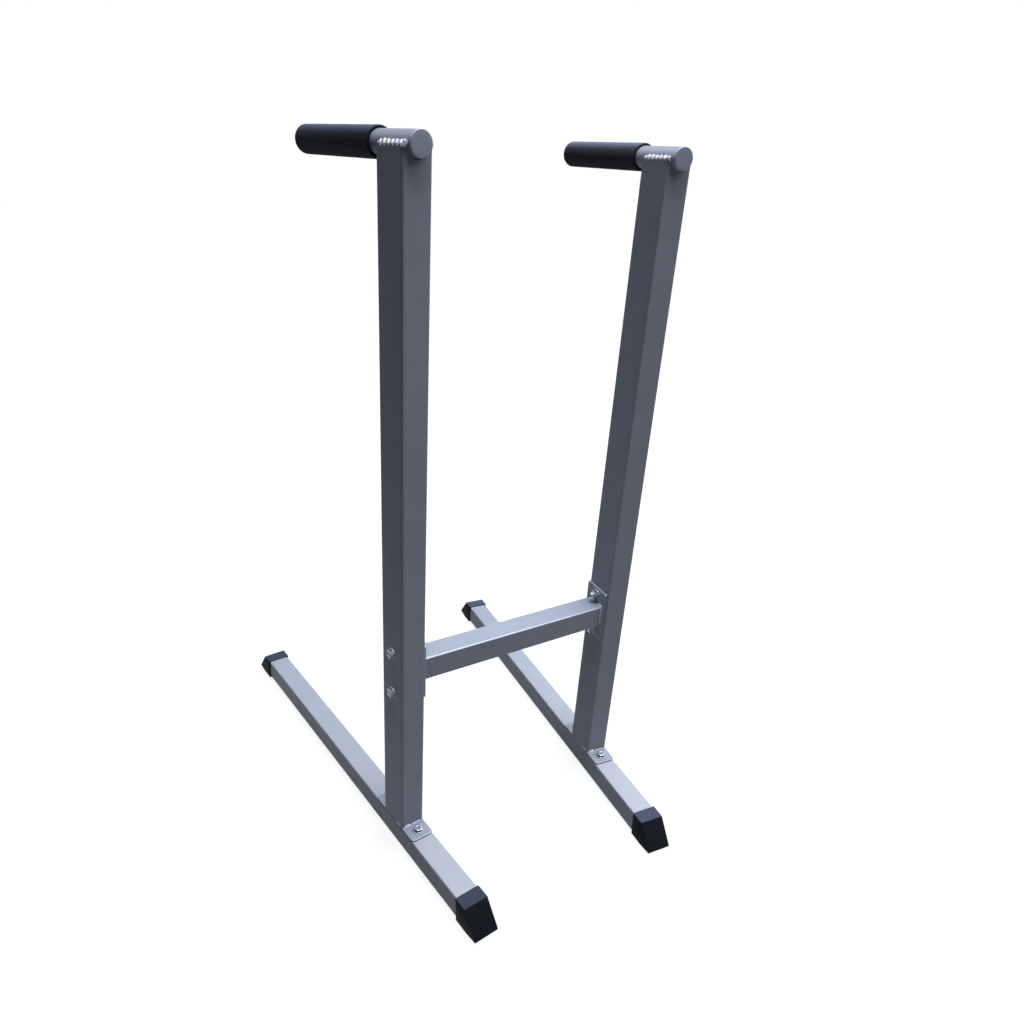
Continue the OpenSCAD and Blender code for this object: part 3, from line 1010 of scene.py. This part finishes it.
@dataclass
class Handle(SidePart):
    """Handle tube of one side frame, with its end disc, foam grip and plug."""

    wall: float = 2.2 * MM
    disc_edge: float = 0.8 * MM
    disc_seam: float = 0.35 * MM
    disc_facets: int = 96
    disc_flat: Pair = (0.5, 0.02 * MM)
    disc_dimple: tuple[Pair, ...] = ((2.2 * MM, 0.05 * MM), (1.2 * MM, 0.12 * MM), (0.3 * MM, 0.15 * MM))
    grip_edge: float = 2.2 * MM
    grip_slack: float = 0.2 * MM
    grip_play: float = 0.1 * MM
    grip_mouth: Pair = (0.8 * MM, 0.6 * MM)
    grip_rows: int = 60
    grip_facets: int = 72
    skin_from: float = 1 * MM
    swell: float = 0.12 * MM
    swell_waves: float = 60.0
    plug_dome: float = 1.1 * MM
    plug_edge: float = 0.8 * MM
    dome_fall: float = 0.55
    dome_shares: tuple[float, ...] = (0.85, 0.7, 0.55, 0.4, 0.25, 0.1)
    plug_seam: float = 0.2 * MM
    plug_tail: Pair = (3 * MM, 1.2 * MM)
    rib_height: float = 0.6 * MM
    rib_slopes: Pair = (1 * MM, 0.4 * MM)
    rib_pitch: float = 4 * MM
    radius: float = field(init=False)
    axis: Vector = field(init=False)

    def build(self) -> None:
        """Dresses the tube and builds the disc, the grip and the plug."""
        low, high = self.box("handle_tube")
        self.radius = (high.x - low.x) / 2
        self.axis = middle(low, high)
        dress_solid(self.named("handle_tube"), self.finishes.handle_paint)
        self.end_disc()
        self.grip()
        self.plug()

    def stand(self, y: float, outwards: int) -> Matrix:
        """A seat on the handle's axis, facing the grip's end (1) or the front (-1)."""
        return seat(Vector((self.axis.x, y, self.axis.z)), outwards * ALONG, UP)

    def end_disc(self) -> None:
        """Welded disc over the front end: round rim, a fine seam behind it and a faint dimple."""
        low, high = self.box("handle_end_disc")
        thick = high.y - low.y
        share, fall = self.disc_flat
        former = Former(self.stand(high.y, -1))
        former.turn([(self.radius - self.wall, 0), (self.radius - self.disc_seam, 0),
                     (self.radius, self.disc_seam), *round_edge(self.radius, thick, self.disc_edge, 90, 6),
                     (share * self.radius, thick - fall),
                     *((radius, thick - depth) for radius, depth in self.disc_dimple)], self.disc_facets)
        self.piece(former, "end_disc", self.finishes.disc_paint, "handle_end_disc")

    def grip(self) -> None:
        """Foam sleeve with soft ends, a little uneven along its length."""
        low, high = self.box("foam_grip")
        outer = (high.x - low.x) / 2 - self.grip_slack
        inner = self.radius + self.grip_play
        length = high.y - low.y
        edge = self.grip_edge
        lip, bevel = self.grip_mouth
        rim = round_edge(outer, length, edge, 80, 8)
        profile = [(inner, bevel), (inner + lip, 0)]
        profile += [(radius, length - z) for radius, z in reversed(rim)]
        profile += [(outer, edge + (length - 2 * edge) * i / self.grip_rows)
                    for i in range(1, self.grip_rows)]
        profile += [*rim, (inner + lip, length), (inner, length - bevel)]
        rows = []
        for radius, z in profile:
            row = circle(radius, z, self.grip_facets)
            if radius > inner + self.skin_from:
                row = [self.swollen(place) for place in row]
            rows.append(row)
        former = Former(self.stand(low.y, 1))
        former.loft(rows, loop=True)
        piece = self.piece(former, "grip_sleeve", self.finishes.foam, "foam_grip", crease=60)

    def swollen(self, place: Vector) -> Vector:
        """A place on the grip's skin, moved by the foam's uneven swell."""
        out = Vector((place.x, place.y, 0)).normalized()
        return place + out * self.swell * noise.noise(place * self.swell_waves)

    def plug(self) -> None:
        """Push-in plug: a low dome with a moulded step, and ribs that grip the tube."""
        low, high = self.box("handle_plug")
        tube_end = self.box("handle_tube")[1].y
        head = high.y - tube_end
        depth = tube_end - low.y
        bore = self.radius - self.wall
        neck = bore - self.rib_height
        rise, fall = self.rib_slopes
        profile = [*((bore - inset, -depth) for inset in self.plug_tail), (neck, -depth + rise)]
        for i in range(1, 4):
            z = -depth + i * self.rib_pitch
            profile += [(neck, z - rise), (bore, z), (neck, z + fall)]
        profile += [(neck, 0), (self.radius - self.plug_seam, 0), (self.radius, self.plug_seam)]
        profile += round_edge(self.radius, head - self.plug_dome + self.plug_edge, self.plug_edge, 75, 5)
        profile += [(self.radius * share, head - self.plug_dome * share ** 2 * self.dome_fall)
                    for share in self.dome_shares]
        former = Former(self.stand(tube_end, 1))
        former.turn(profile)
        self.piece(former, "end_plug", self.finishes.plastic, "handle_plug")


@dataclass
class FootCap(SidePart):
    """Wedge-shaped rubber cap on one end of a base tube."""

    end: End
    edge: float = 1.1 * MM
    edge_facets: int = 4
    slope_run: float = 31 * MM
    mouth_lean: float = 4 * MM
    flat_run: float = 6 * MM
    toe_lift: float = 3 * MM
    toe_face: float = 1.2 * MM
    socket_fit: float = 0.15 * MM
    socket_corner: float = 2.65 * MM
    socket_overrun: float = 10 * MM

    def build(self) -> None:
        """Moulds the cap round the tube's end."""
        solid = f"{self.end.value}_foot_cap"
        low, high = self.box(solid)
        tube_low, tube_high = self.box("base_tube")
        out = 1 if self.end is End.REAR else -1
        toe, mouth, tube_end = (high.y, low.y, tube_high.y) if out > 0 else (-low.y, -high.y, -tube_low.y)
        half = (high.x - low.x) / 2
        ridge = toe - self.slope_run
        outline = [
            (mouth + self.mouth_lean, 0), (ridge + self.flat_run, 0), (toe, self.toe_lift),
            (toe, self.toe_lift + self.toe_face), (ridge, high.z), (mouth, high.z),
        ]
        former = Former()
        former.loft([Vector((x, out * y, z)) for y, z in outline] for x in (-half, half))
        bmesh.ops.bevel(former.mesh, geom=former.mesh.edges[:], offset=self.edge, segments=self.edge_facets,
                        profile=0.5, affect="EDGES", clamp_overlap=True)
        thing = self.stand_up(former, f"foot_cap_{self.end.value}")
        fit = self.socket_fit
        width = tube_high.x - tube_low.x + 2 * fit
        height = tube_high.z - tube_low.z + 2 * fit
        socket = Former(seat(Vector((0, 0, middle(tube_low, tube_high).z)), out * ALONG, UP))
        socket.loft(rounded_rectangle(width, height, self.socket_corner, z)
                    for z in (mouth - self.socket_overrun, tube_end + fit))
        cut(thing, socket.data("socket", self.axes.to_row))
        self.hand_over(thing, self.finishes.rubber, solid, crease=40)


@dataclass
class SideFrame(SidePart):
    """One side frame: base tube on its caps, bolted foot plate, upright, saddle weld and handle."""

    plate_corner: float = 6 * MM
    plate_edge: float = 0.9 * MM
    foot_thread: float = 16 * MM
    tack_ends: Pair = (-10 * MM, -24 * MM)
    heavy_ends: Pair = (3 * MM, -3 * MM)
    heavy_set: Pair = (0.8 * MM, 0.4 * MM)
    light_ends: Pair = (-2 * MM, 4.5 * MM)
    saddle_reach: float = 17.6 * MM
    saddle_lift: float = 1.2 * MM
    saddle_insets: Pair = (2 * MM, 1 * MM)
    saddle_crown: Pair = (0.75, 0.66)
    saddle_arc: float = 16.9 * MM
    corner_turn: Pair = (4, -17)
    front_seam: Pair = (-30, -150)
    rear_seam: Pair = (-4, -176)
    seam_steps: int = 12
    seam_lean: float = 0.6
    saddle_bed: Bead = Bead(half_width=3.0 * MM, height=1.7 * MM, pitch=9 * MM, groove=0.08)
    saddle_bead: Bead = Bead(half_width=2.4 * MM, height=2.4 * MM, pitch=9.2 * MM, groove=0.55,
                             weave=2.1 * MM, lag=0.3, uneven=0.22, tail=6 * MM)
    seam_bead: Bead = Bead(half_width=1.1 * MM, height=0.8 * MM, pitch=3 * MM, groove=0.15)
    heavy_bead: Bead = Bead(half_width=3.2 * MM, height=2.6 * MM, pitch=5.5 * MM, groove=0.35, uneven=0.25)
    light_bead: Bead = Bead(half_width=1.6 * MM, height=1.3 * MM, pitch=3 * MM, groove=0.15)
    tack_bead: Bead = Bead(half_width=1.5 * MM, height=0.8 * MM, pitch=6 * MM, groove=0.8, uneven=0.3)
    upright: Box = field(init=False)

    def build(self) -> None:
        """Builds the side frame from the floor up."""
        # The base tube's level faces get painted light, lighter towards the front.
        dress_solid(self.named("base_tube"), self.finishes.front_lit_paint)
        dress_solid(self.named("upright"), self.finishes.paint)
        dress_solid(self.named("foot_weld_nuts"), self.finishes.zinc)
        self.upright = self.box("upright")
        for end in End:
            FootCap(self.side, self.axes, self.finishes, end).build()
        self.foot_plate()
        self.foot_welds()
        self.foot_bolts()
        self.saddle_weld()
        Handle(self.side, self.axes, self.finishes).build()

    def foot_plate(self) -> None:
        """Steel plate under the upright, with its two bolt holes."""
        low, high = self.box("foot_plate")
        centre = middle(low, high)
        holes = [(0, middle(*self.box(f"foot_{end.value}_bolt")).y - centre.y) for end in End]
        former = Former(Matrix.Translation((0, centre.y, low.z)))
        former.plate(high.x - low.x, high.y - low.y, high.z - low.z, self.plate_corner, self.plate_edge,
                     holes)
        # The plate's upward rounded edges get a painted highlight.
        self.piece(former, "bolted_foot_plate", self.finishes.edge_highlight_paint, "foot_plate")

    def foot_welds(self) -> None:
        """Painted stitches where the upright stands on its plate, heavier on the left half of each."""
        low, high = self.upright
        turn = self.side.inwards
        former = Former()
        for wall in (low.x, high.x):
            crown = Vector((wall, 0, 0)).normalized()
            self.tack_bead.lay(former, [(Vector((wall, y, low.z)), crown) for y in self.tack_ends])
        out, lift = self.heavy_set
        for face in (-1, 1):
            y = high.y * face
            crown = Vector((0, face, 1)).normalized()
            heavy = [(Vector((turn * x, y + face * out, low.z + lift)), crown)
                     for x in (low.x + self.heavy_ends[0], self.heavy_ends[1])]
            light = [(Vector((turn * x, y, low.z)), crown)
                     for x in (self.light_ends[0], high.x - self.light_ends[1])]
            self.heavy_bead.lay(former, heavy)
            self.light_bead.lay(former, light)
        # The stitches take the lightened weld paint, a painted highlight.
        self.piece(former, "foot_stitches", self.finishes.foot_weld_highlight_paint, "foot_weld", crease=60)

    def foot_bolts(self) -> None:
        """Bolts and washers that hold the foot plate down."""
        plate_top = self.box("foot_plate")[1].z
        rim = self.box("foot_washers")[1]
        washers = Former()
        for end in End:
            solid = f"foot_{end.value}_bolt"
            low, high = self.box(solid)
            centre = middle(low, high)
            stand = seat(Vector((0, centre.y, rim.z)), UP, ALONG)
            bolt = HexStock(high.y - low.y).bolt(stand, high.z - rim.z, rim.z - low.z, self.foot_thread)
            self.piece(bolt, f"{end.value}_foot_bolt", self.finishes.zinc, solid, crease=25)
            washers.stand = Matrix.Translation((0, centre.y, plate_top))
            Washer(rim.x, rim.z - plate_top).press(washers)
        self.piece(washers, "foot_bolt_washers", self.finishes.zinc, "foot_washers")

    def saddle_weld(self) -> None:
        """Bright weave along both walls of the saddle, and painted fillets under the tube at each face."""
        tube = middle(*self.box("handle_tube"))
        low, high = self.upright
        rear, front = self.saddle_insets
        weave = Former()
        for wall in (-1, 1):
            crown = Vector((wall * self.saddle_crown[0], 0, self.saddle_crown[1])).normalized()
            line = [(Vector((wall * self.saddle_reach, y, high.z + self.saddle_lift)), crown)
                    for y in (high.y - rear, 0, low.y + front)]
            corner = self.under_tube(tube, low.y, [90 - wall * (90 - turn) for turn in self.corner_turn])
            self.saddle_bed.lay(weave, line)
            self.saddle_bead.lay(weave, line + corner)
        fillet = Former()
        self.seam_bead.lay(fillet, self.under_tube(tube, low.y, self.front_seam))
        self.seam_bead.lay(fillet, self.under_tube(tube, high.y, self.rear_seam))
        self.piece(weave, "saddle_weave", self.finishes.weld, "saddle_weld", crease=70)
        self.piece(fillet, "saddle_fillet", self.finishes.paint, "saddle_weld", crease=70)

    def under_tube(self, tube: Vector, y: float, ends: Sequence[float]) -> Run:
        """Follows part of the saddle's edge on one face of the upright.

        Args:
            tube: A point on the handle's axis.
            y: Place of the face.
            ends: Angles in degrees at which the part starts and ends, 0 along x and 90 upwards.

        Returns:
            The points of the arc, each with its crown direction.
        """
        out = math.copysign(1, y)
        run = []
        for a in arc(*ends, self.seam_steps):
            across = Vector((math.cos(a), 0, math.sin(a)))
            place = Vector((tube.x, y, tube.z)) + across * self.saddle_arc
            run.append((place, (across * self.seam_lean + Vector((0, out, 0))).normalized()))
        return run


@dataclass
class CrossbarEnd(SidePart):
    """One end of the crossbar: its plate, the welds on it, and the fasteners through the upright."""

    plate_edge: float = 0.7 * MM
    plate_corner: float = 2 * MM
    bar_corner: float = 2.5 * MM
    bolt_thread: float = 24 * MM
    twists: Pair = (8, -5)
    bead: Bead = Bead(half_width=3.4 * MM, height=2.5 * MM, pitch=3.8 * MM, groove=0.2, lag=0.3, uneven=0.14)
    stitches: tuple[Pair, ...] = ((0.035, 0.125), (0.19, 0.49), (0.53, 0.74), (0.785, 0.985))

    def build(self) -> None:
        """Builds the plate, the welds and the fasteners."""
        self.end_plate()
        self.welds()
        self.fasteners()

    def bolt_axes(self) -> dict[Level, Vector]:
        """Middle of each bolt, by its level."""
        return {level: middle(*self.box(f"crossbar_{level.value}_bolt")) for level in Level}

    def end_plate(self) -> None:
        """Steel plate between the crossbar and the upright."""
        low, high = self.box("crossbar_end_plate")
        centre = middle(low, high)
        former = Former(seat(Vector((low.x, centre.y, centre.z)), ACROSS, UP))
        holes = [(-centre.y, bolt.z - centre.z) for bolt in self.bolt_axes().values()]
        former.plate(high.y - low.y, high.z - low.z, high.x - low.x, self.plate_corner, self.plate_edge,
                     holes)
        # The plate's upward rounded edges get a painted highlight.
        self.piece(former, "end_plate", self.finishes.edge_highlight_paint, "crossbar_end_plate")

    def welds(self) -> None:
        """Painted stitches in the corner between the crossbar and its plate."""
        low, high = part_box("crossbar_tube")
        centre = middle(low, high)
        plate_face = self.box("crossbar_end_plate")[1].x
        outline = rounded_rectangle(high.y - low.y, high.z - low.z, self.bar_corner, 0, 5)
        to_axes = self.axes.to_row.inverted()
        step = to_axes.to_3x3() @ Vector((self.side.inwards, 0, 0))
        loop: Run = []
        for i, point in enumerate(outline):
            turn = outline[(i + 1) % len(outline)] - outline[i - 1]
            normal = Vector((0, turn.y, -turn.x)).normalized()
            start = to_axes @ Vector((centre.x, centre.y + point.x, centre.z + point.y))
            place = start + step * ((plate_face - start.x) / step.x)
            loop.append((place, (to_axes.to_3x3() @ normal + ACROSS).normalized()))
        former = Former()
        for start, end in self.stitches:
            self.bead.lay(former, stretch(loop, start, end))
        # The beads take the lightened weld paint, a painted highlight.
        self.piece(former, "crossbar_beads", self.finishes.weld_highlight_paint, "crossbar_weld", crease=60)

    def twist(self, level: Level) -> Vector:
        """Direction of a flat's middle, turned a little for each fastener as a spanner leaves it."""
        turn = math.radians(self.twists[(self.side is Side.LEFT) != (level is Level.UPPER)])
        return Vector((0, math.sin(turn), math.cos(turn)))

    def fasteners(self) -> None:
        """Bolts, nuts and washers through the plate and its upright."""
        plate_face = self.box("crossbar_end_plate")[1].x
        wall = self.box("upright")[0].x
        rim_low, rim_high = self.box("crossbar_washers")
        rim = (rim_high.y - rim_low.y) / 2
        zinc = self.finishes.zinc
        washers = Former()
        for level, centre in self.bolt_axes().items():
            bolt_solid, nut_solid = (f"crossbar_{level.value}_{kind}" for kind in ("bolt", "nut"))
            low, high = self.box(bolt_solid)
            nut_low, nut_high = self.box(nut_solid)
            thick = nut_low.x - plate_face
            stock = HexStock(high.y - low.y)
            twist = self.twist(level)
            head_seat = Vector((wall - thick, centre.y, centre.z))
            bolt = stock.bolt(seat(head_seat, -ACROSS, twist), head_seat.x - low.x, high.x - head_seat.x,
                              self.bolt_thread)
            self.piece(bolt, f"{level.value}_bolt", zinc, bolt_solid, crease=25)
            nut_seat = Vector((nut_low.x, centre.y, centre.z))
            nut = stock.nut(seat(nut_seat, ACROSS, twist), nut_high.x - nut_low.x)
            self.piece(nut, f"{level.value}_nut", zinc, nut_solid, crease=25)
            for x, way in ((plate_face, 1), (wall, -1)):
                washers.stand = seat(Vector((x, centre.y, centre.z)), way * ACROSS, UP)
                Washer(rim, thick).press(washers)
        self.piece(washers, "bolt_washers", zinc, "crossbar_washers")


@dataclass
class Crossbar:
    """Crossbar with a welded and bolted plate on each end."""

    finishes: Finishes
    ends: list[CrossbarEnd]

    def build(self) -> None:
        """Dresses the tube, then builds each end."""
        # The tube's upward rounded corners get a painted highlight.
        dress_solid("crossbar_tube", self.finishes.edge_highlight_paint)
        for end in self.ends:
            end.build()


# Studio


@dataclass(frozen=True)
class PhotoCamera:
    """The photograph's camera: where it stood, where it looked and its lens."""

    place: tuple[float, float, float] = (-0.6172, -1.0733, 1.0786)
    yaw: float = 31.74
    pitch: float = -26.08
    roll: float = 3.06
    focal_pixels: float = 771.35
    centre_pixel: Pair = (487.04, 531.83)
    image_pixels: int = 1024
    sensor: float = 36.0
    clip: Pair = (0.05, 60)

    def build(self) -> None:
        """Sets the camera up and makes it the scene's own."""
        data = bpy.data.cameras.new("photo_camera")
        data.sensor_width = self.sensor
        data.lens = self.focal_pixels / self.image_pixels * self.sensor
        data.shift_x = 0.5 - self.centre_pixel[0] / self.image_pixels
        data.shift_y = self.centre_pixel[1] / self.image_pixels - 0.5
        data.clip_start, data.clip_end = self.clip
        camera = add_object("photo_camera", data)
        yaw, pitch, roll = (math.radians(angle) for angle in (self.yaw, self.pitch, self.roll))
        ahead = Vector((math.sin(yaw) * math.cos(pitch), math.cos(yaw) * math.cos(pitch), math.sin(pitch)))
        level = Vector((math.cos(yaw), -math.sin(yaw), 0))
        upright = level.cross(ahead)
        right = level * math.cos(roll) + upright * math.sin(roll)
        up = upright * math.cos(roll) - level * math.sin(roll)
        turn = Matrix((right, up, -ahead)).transposed().to_4x4()
        camera.matrix_world = Matrix.Translation(self.place) @ turn
        bpy.context.scene.camera = camera


@dataclass(frozen=True)
class Lamp:
    """A soft box: a square area lamp aimed at a point."""

    name: str
    place: tuple[float, float, float]
    aim: tuple[float, float, float]
    size: float
    power: float
    colour: Rgb

    def build(self) -> None:
        """Hangs the lamp."""
        data = bpy.data.lights.new(self.name, "AREA")
        data.shape = "SQUARE"
        data.size = self.size
        data.energy = self.power
        data.color = self.colour
        lamp = add_object(self.name, data)
        lamp.location = self.place
        lamp.rotation_euler = (Vector(self.aim) - Vector(self.place)).to_track_quat("-Z", "Y").to_euler()


class Backdrop(Wiring):
    """The tree of the floor or the world: one shader where it is seen, another for the light it gives."""

    def __init__(self, tree: bpy.types.NodeTree) -> None:
        """Takes a tree over and clears it."""
        super().__init__(tree)
        tree.nodes.clear()

    def finish(self, kind: str, seen: bpy.types.Node, lit: bpy.types.Node) -> None:
        """Joins the two shaders to the tree's output.

        Args:
            kind: The output's node type.
            seen: Shader for camera, glossy and transmission rays, by which a person sees the background.
            lit: Shader for all other rays.
        """
        path = self.node("LightPath").outputs
        share = path["Is Camera Ray"]
        for name in ("Is Glossy Ray", "Is Transmission Ray"):
            share = self.node("Math", operation="MAXIMUM", _0=share, _1=path[name]).outputs[0]
        choice = self.node("MixShader", _0=share, _1=lit.outputs[0], _2=seen.outputs[0])
        self.node(kind, Surface=choice.outputs[0])


@dataclass
class Studio:
    """White studio with three large soft boxes overhead and one in front on the right."""

    floor_half: float = 14.0
    floor_colour: Rgb = (0.2, 0.2, 0.2)
    ambient: Rgb = (0.001, 0.002, 0.012)
    bounce_near: Rgb = (0.275, 0.26, 0.25)
    bounce_far: Rgb = (0.05, 0.05, 0.06)
    bounce_ends: Pair = (0.8, 2.2)
    near_white: float = 0.86
    white_ends: Pair = (0.9, 2.6)
    lamps: tuple[Lamp, ...] = (
        Lamp("overhead_right", (1.6, 0.0, 2.8), (0.0, -0.1, 0.4), 2.2, 32, (0.93, 0.975, 1.04)),
        Lamp("overhead_rear", (0.8, 0.9, 2.9), (0.0, 0.0, 0.4), 2.2, 26, (0.90, 0.96, 1.05)),
        Lamp("overhead_high", (0, -0.5, 6.0), (0, 0, 0), 2.2, 245, (0.88, 0.95, 1.05)),
        Lamp("front_right", (1.3, -1.3, 2.8), (0.0, -0.1, 0.5), 2.0, 19, (0.97, 0.98, 1.01)),
    )

    def build(self) -> None:
        """Builds floor, surroundings and lamps, and picks the plain view transform."""
        bpy.context.scene.view_settings.view_transform = "Standard"
        self.floor()
        self.surroundings()
        for lamp in self.lamps:
            lamp.build()

    def floor(self) -> None:
        """Pale floor that looks white, holds the object's shadow and bounces little light."""
        half = self.floor_half
        corners = ((-half, -half), (half, -half), (half, half), (-half, half))
        former = Former()
        former.mesh.faces.new(former.ring(Vector((x, y, 0)) for x, y in corners))
        thing = add_object("studio_floor", former.data("studio_floor", Matrix.Identity(4)))
        material = bpy.data.materials.new("studio_floor")
        material.use_nodes = True
        thing.data.materials.append(material)
        w = Backdrop(material.node_tree)
        place = w.node("TexCoord").outputs["Object"]
        away = w.node("VectorMath", operation="LENGTH", _0=place).outputs["Value"]
        glow = w.node("Emission", Strength=w.spread(away, self.near_white, 1, *self.white_ends))
        pale = w.node("BsdfDiffuse", Color=(*self.floor_colour, 1))
        white = w.node("AddShader", _0=glow.outputs[0], _1=pale.outputs[0])
        bounce = w.tint(w.spread(away, 0, 1, *self.bounce_ends), self.bounce_near, self.bounce_far)
        w.finish("OutputMaterial", white, w.node("BsdfDiffuse", Color=bounce))

    def surroundings(self) -> None:
        """White where it is seen, and a dim sky blue as the light from all round."""
        world = bpy.data.worlds.new("studio")
        bpy.context.scene.world = world
        world.use_nodes = True
        w = Backdrop(world.node_tree)
        white, ambient = (w.node("Background", Color=(*colour, 1)) for colour in ((1, 1, 1), self.ambient))
        w.finish("OutputWorld", white, ambient)


def main() -> None:
    """Builds the studio and the dip station, sub-assembly by sub-assembly."""
    logging.basicConfig(level=logging.INFO, format="%(name)s: %(message)s")
    PhotoCamera().build()
    Studio().build()
    parts = [(side, Axes.of_side(side), Finishes.of_side(side)) for side in Side]
    for part in parts:
        SideFrame(*part).build()
    Crossbar(Finishes(), [CrossbarEnd(*part) for part in parts]).build()


if __name__ == "__main__":
    main()
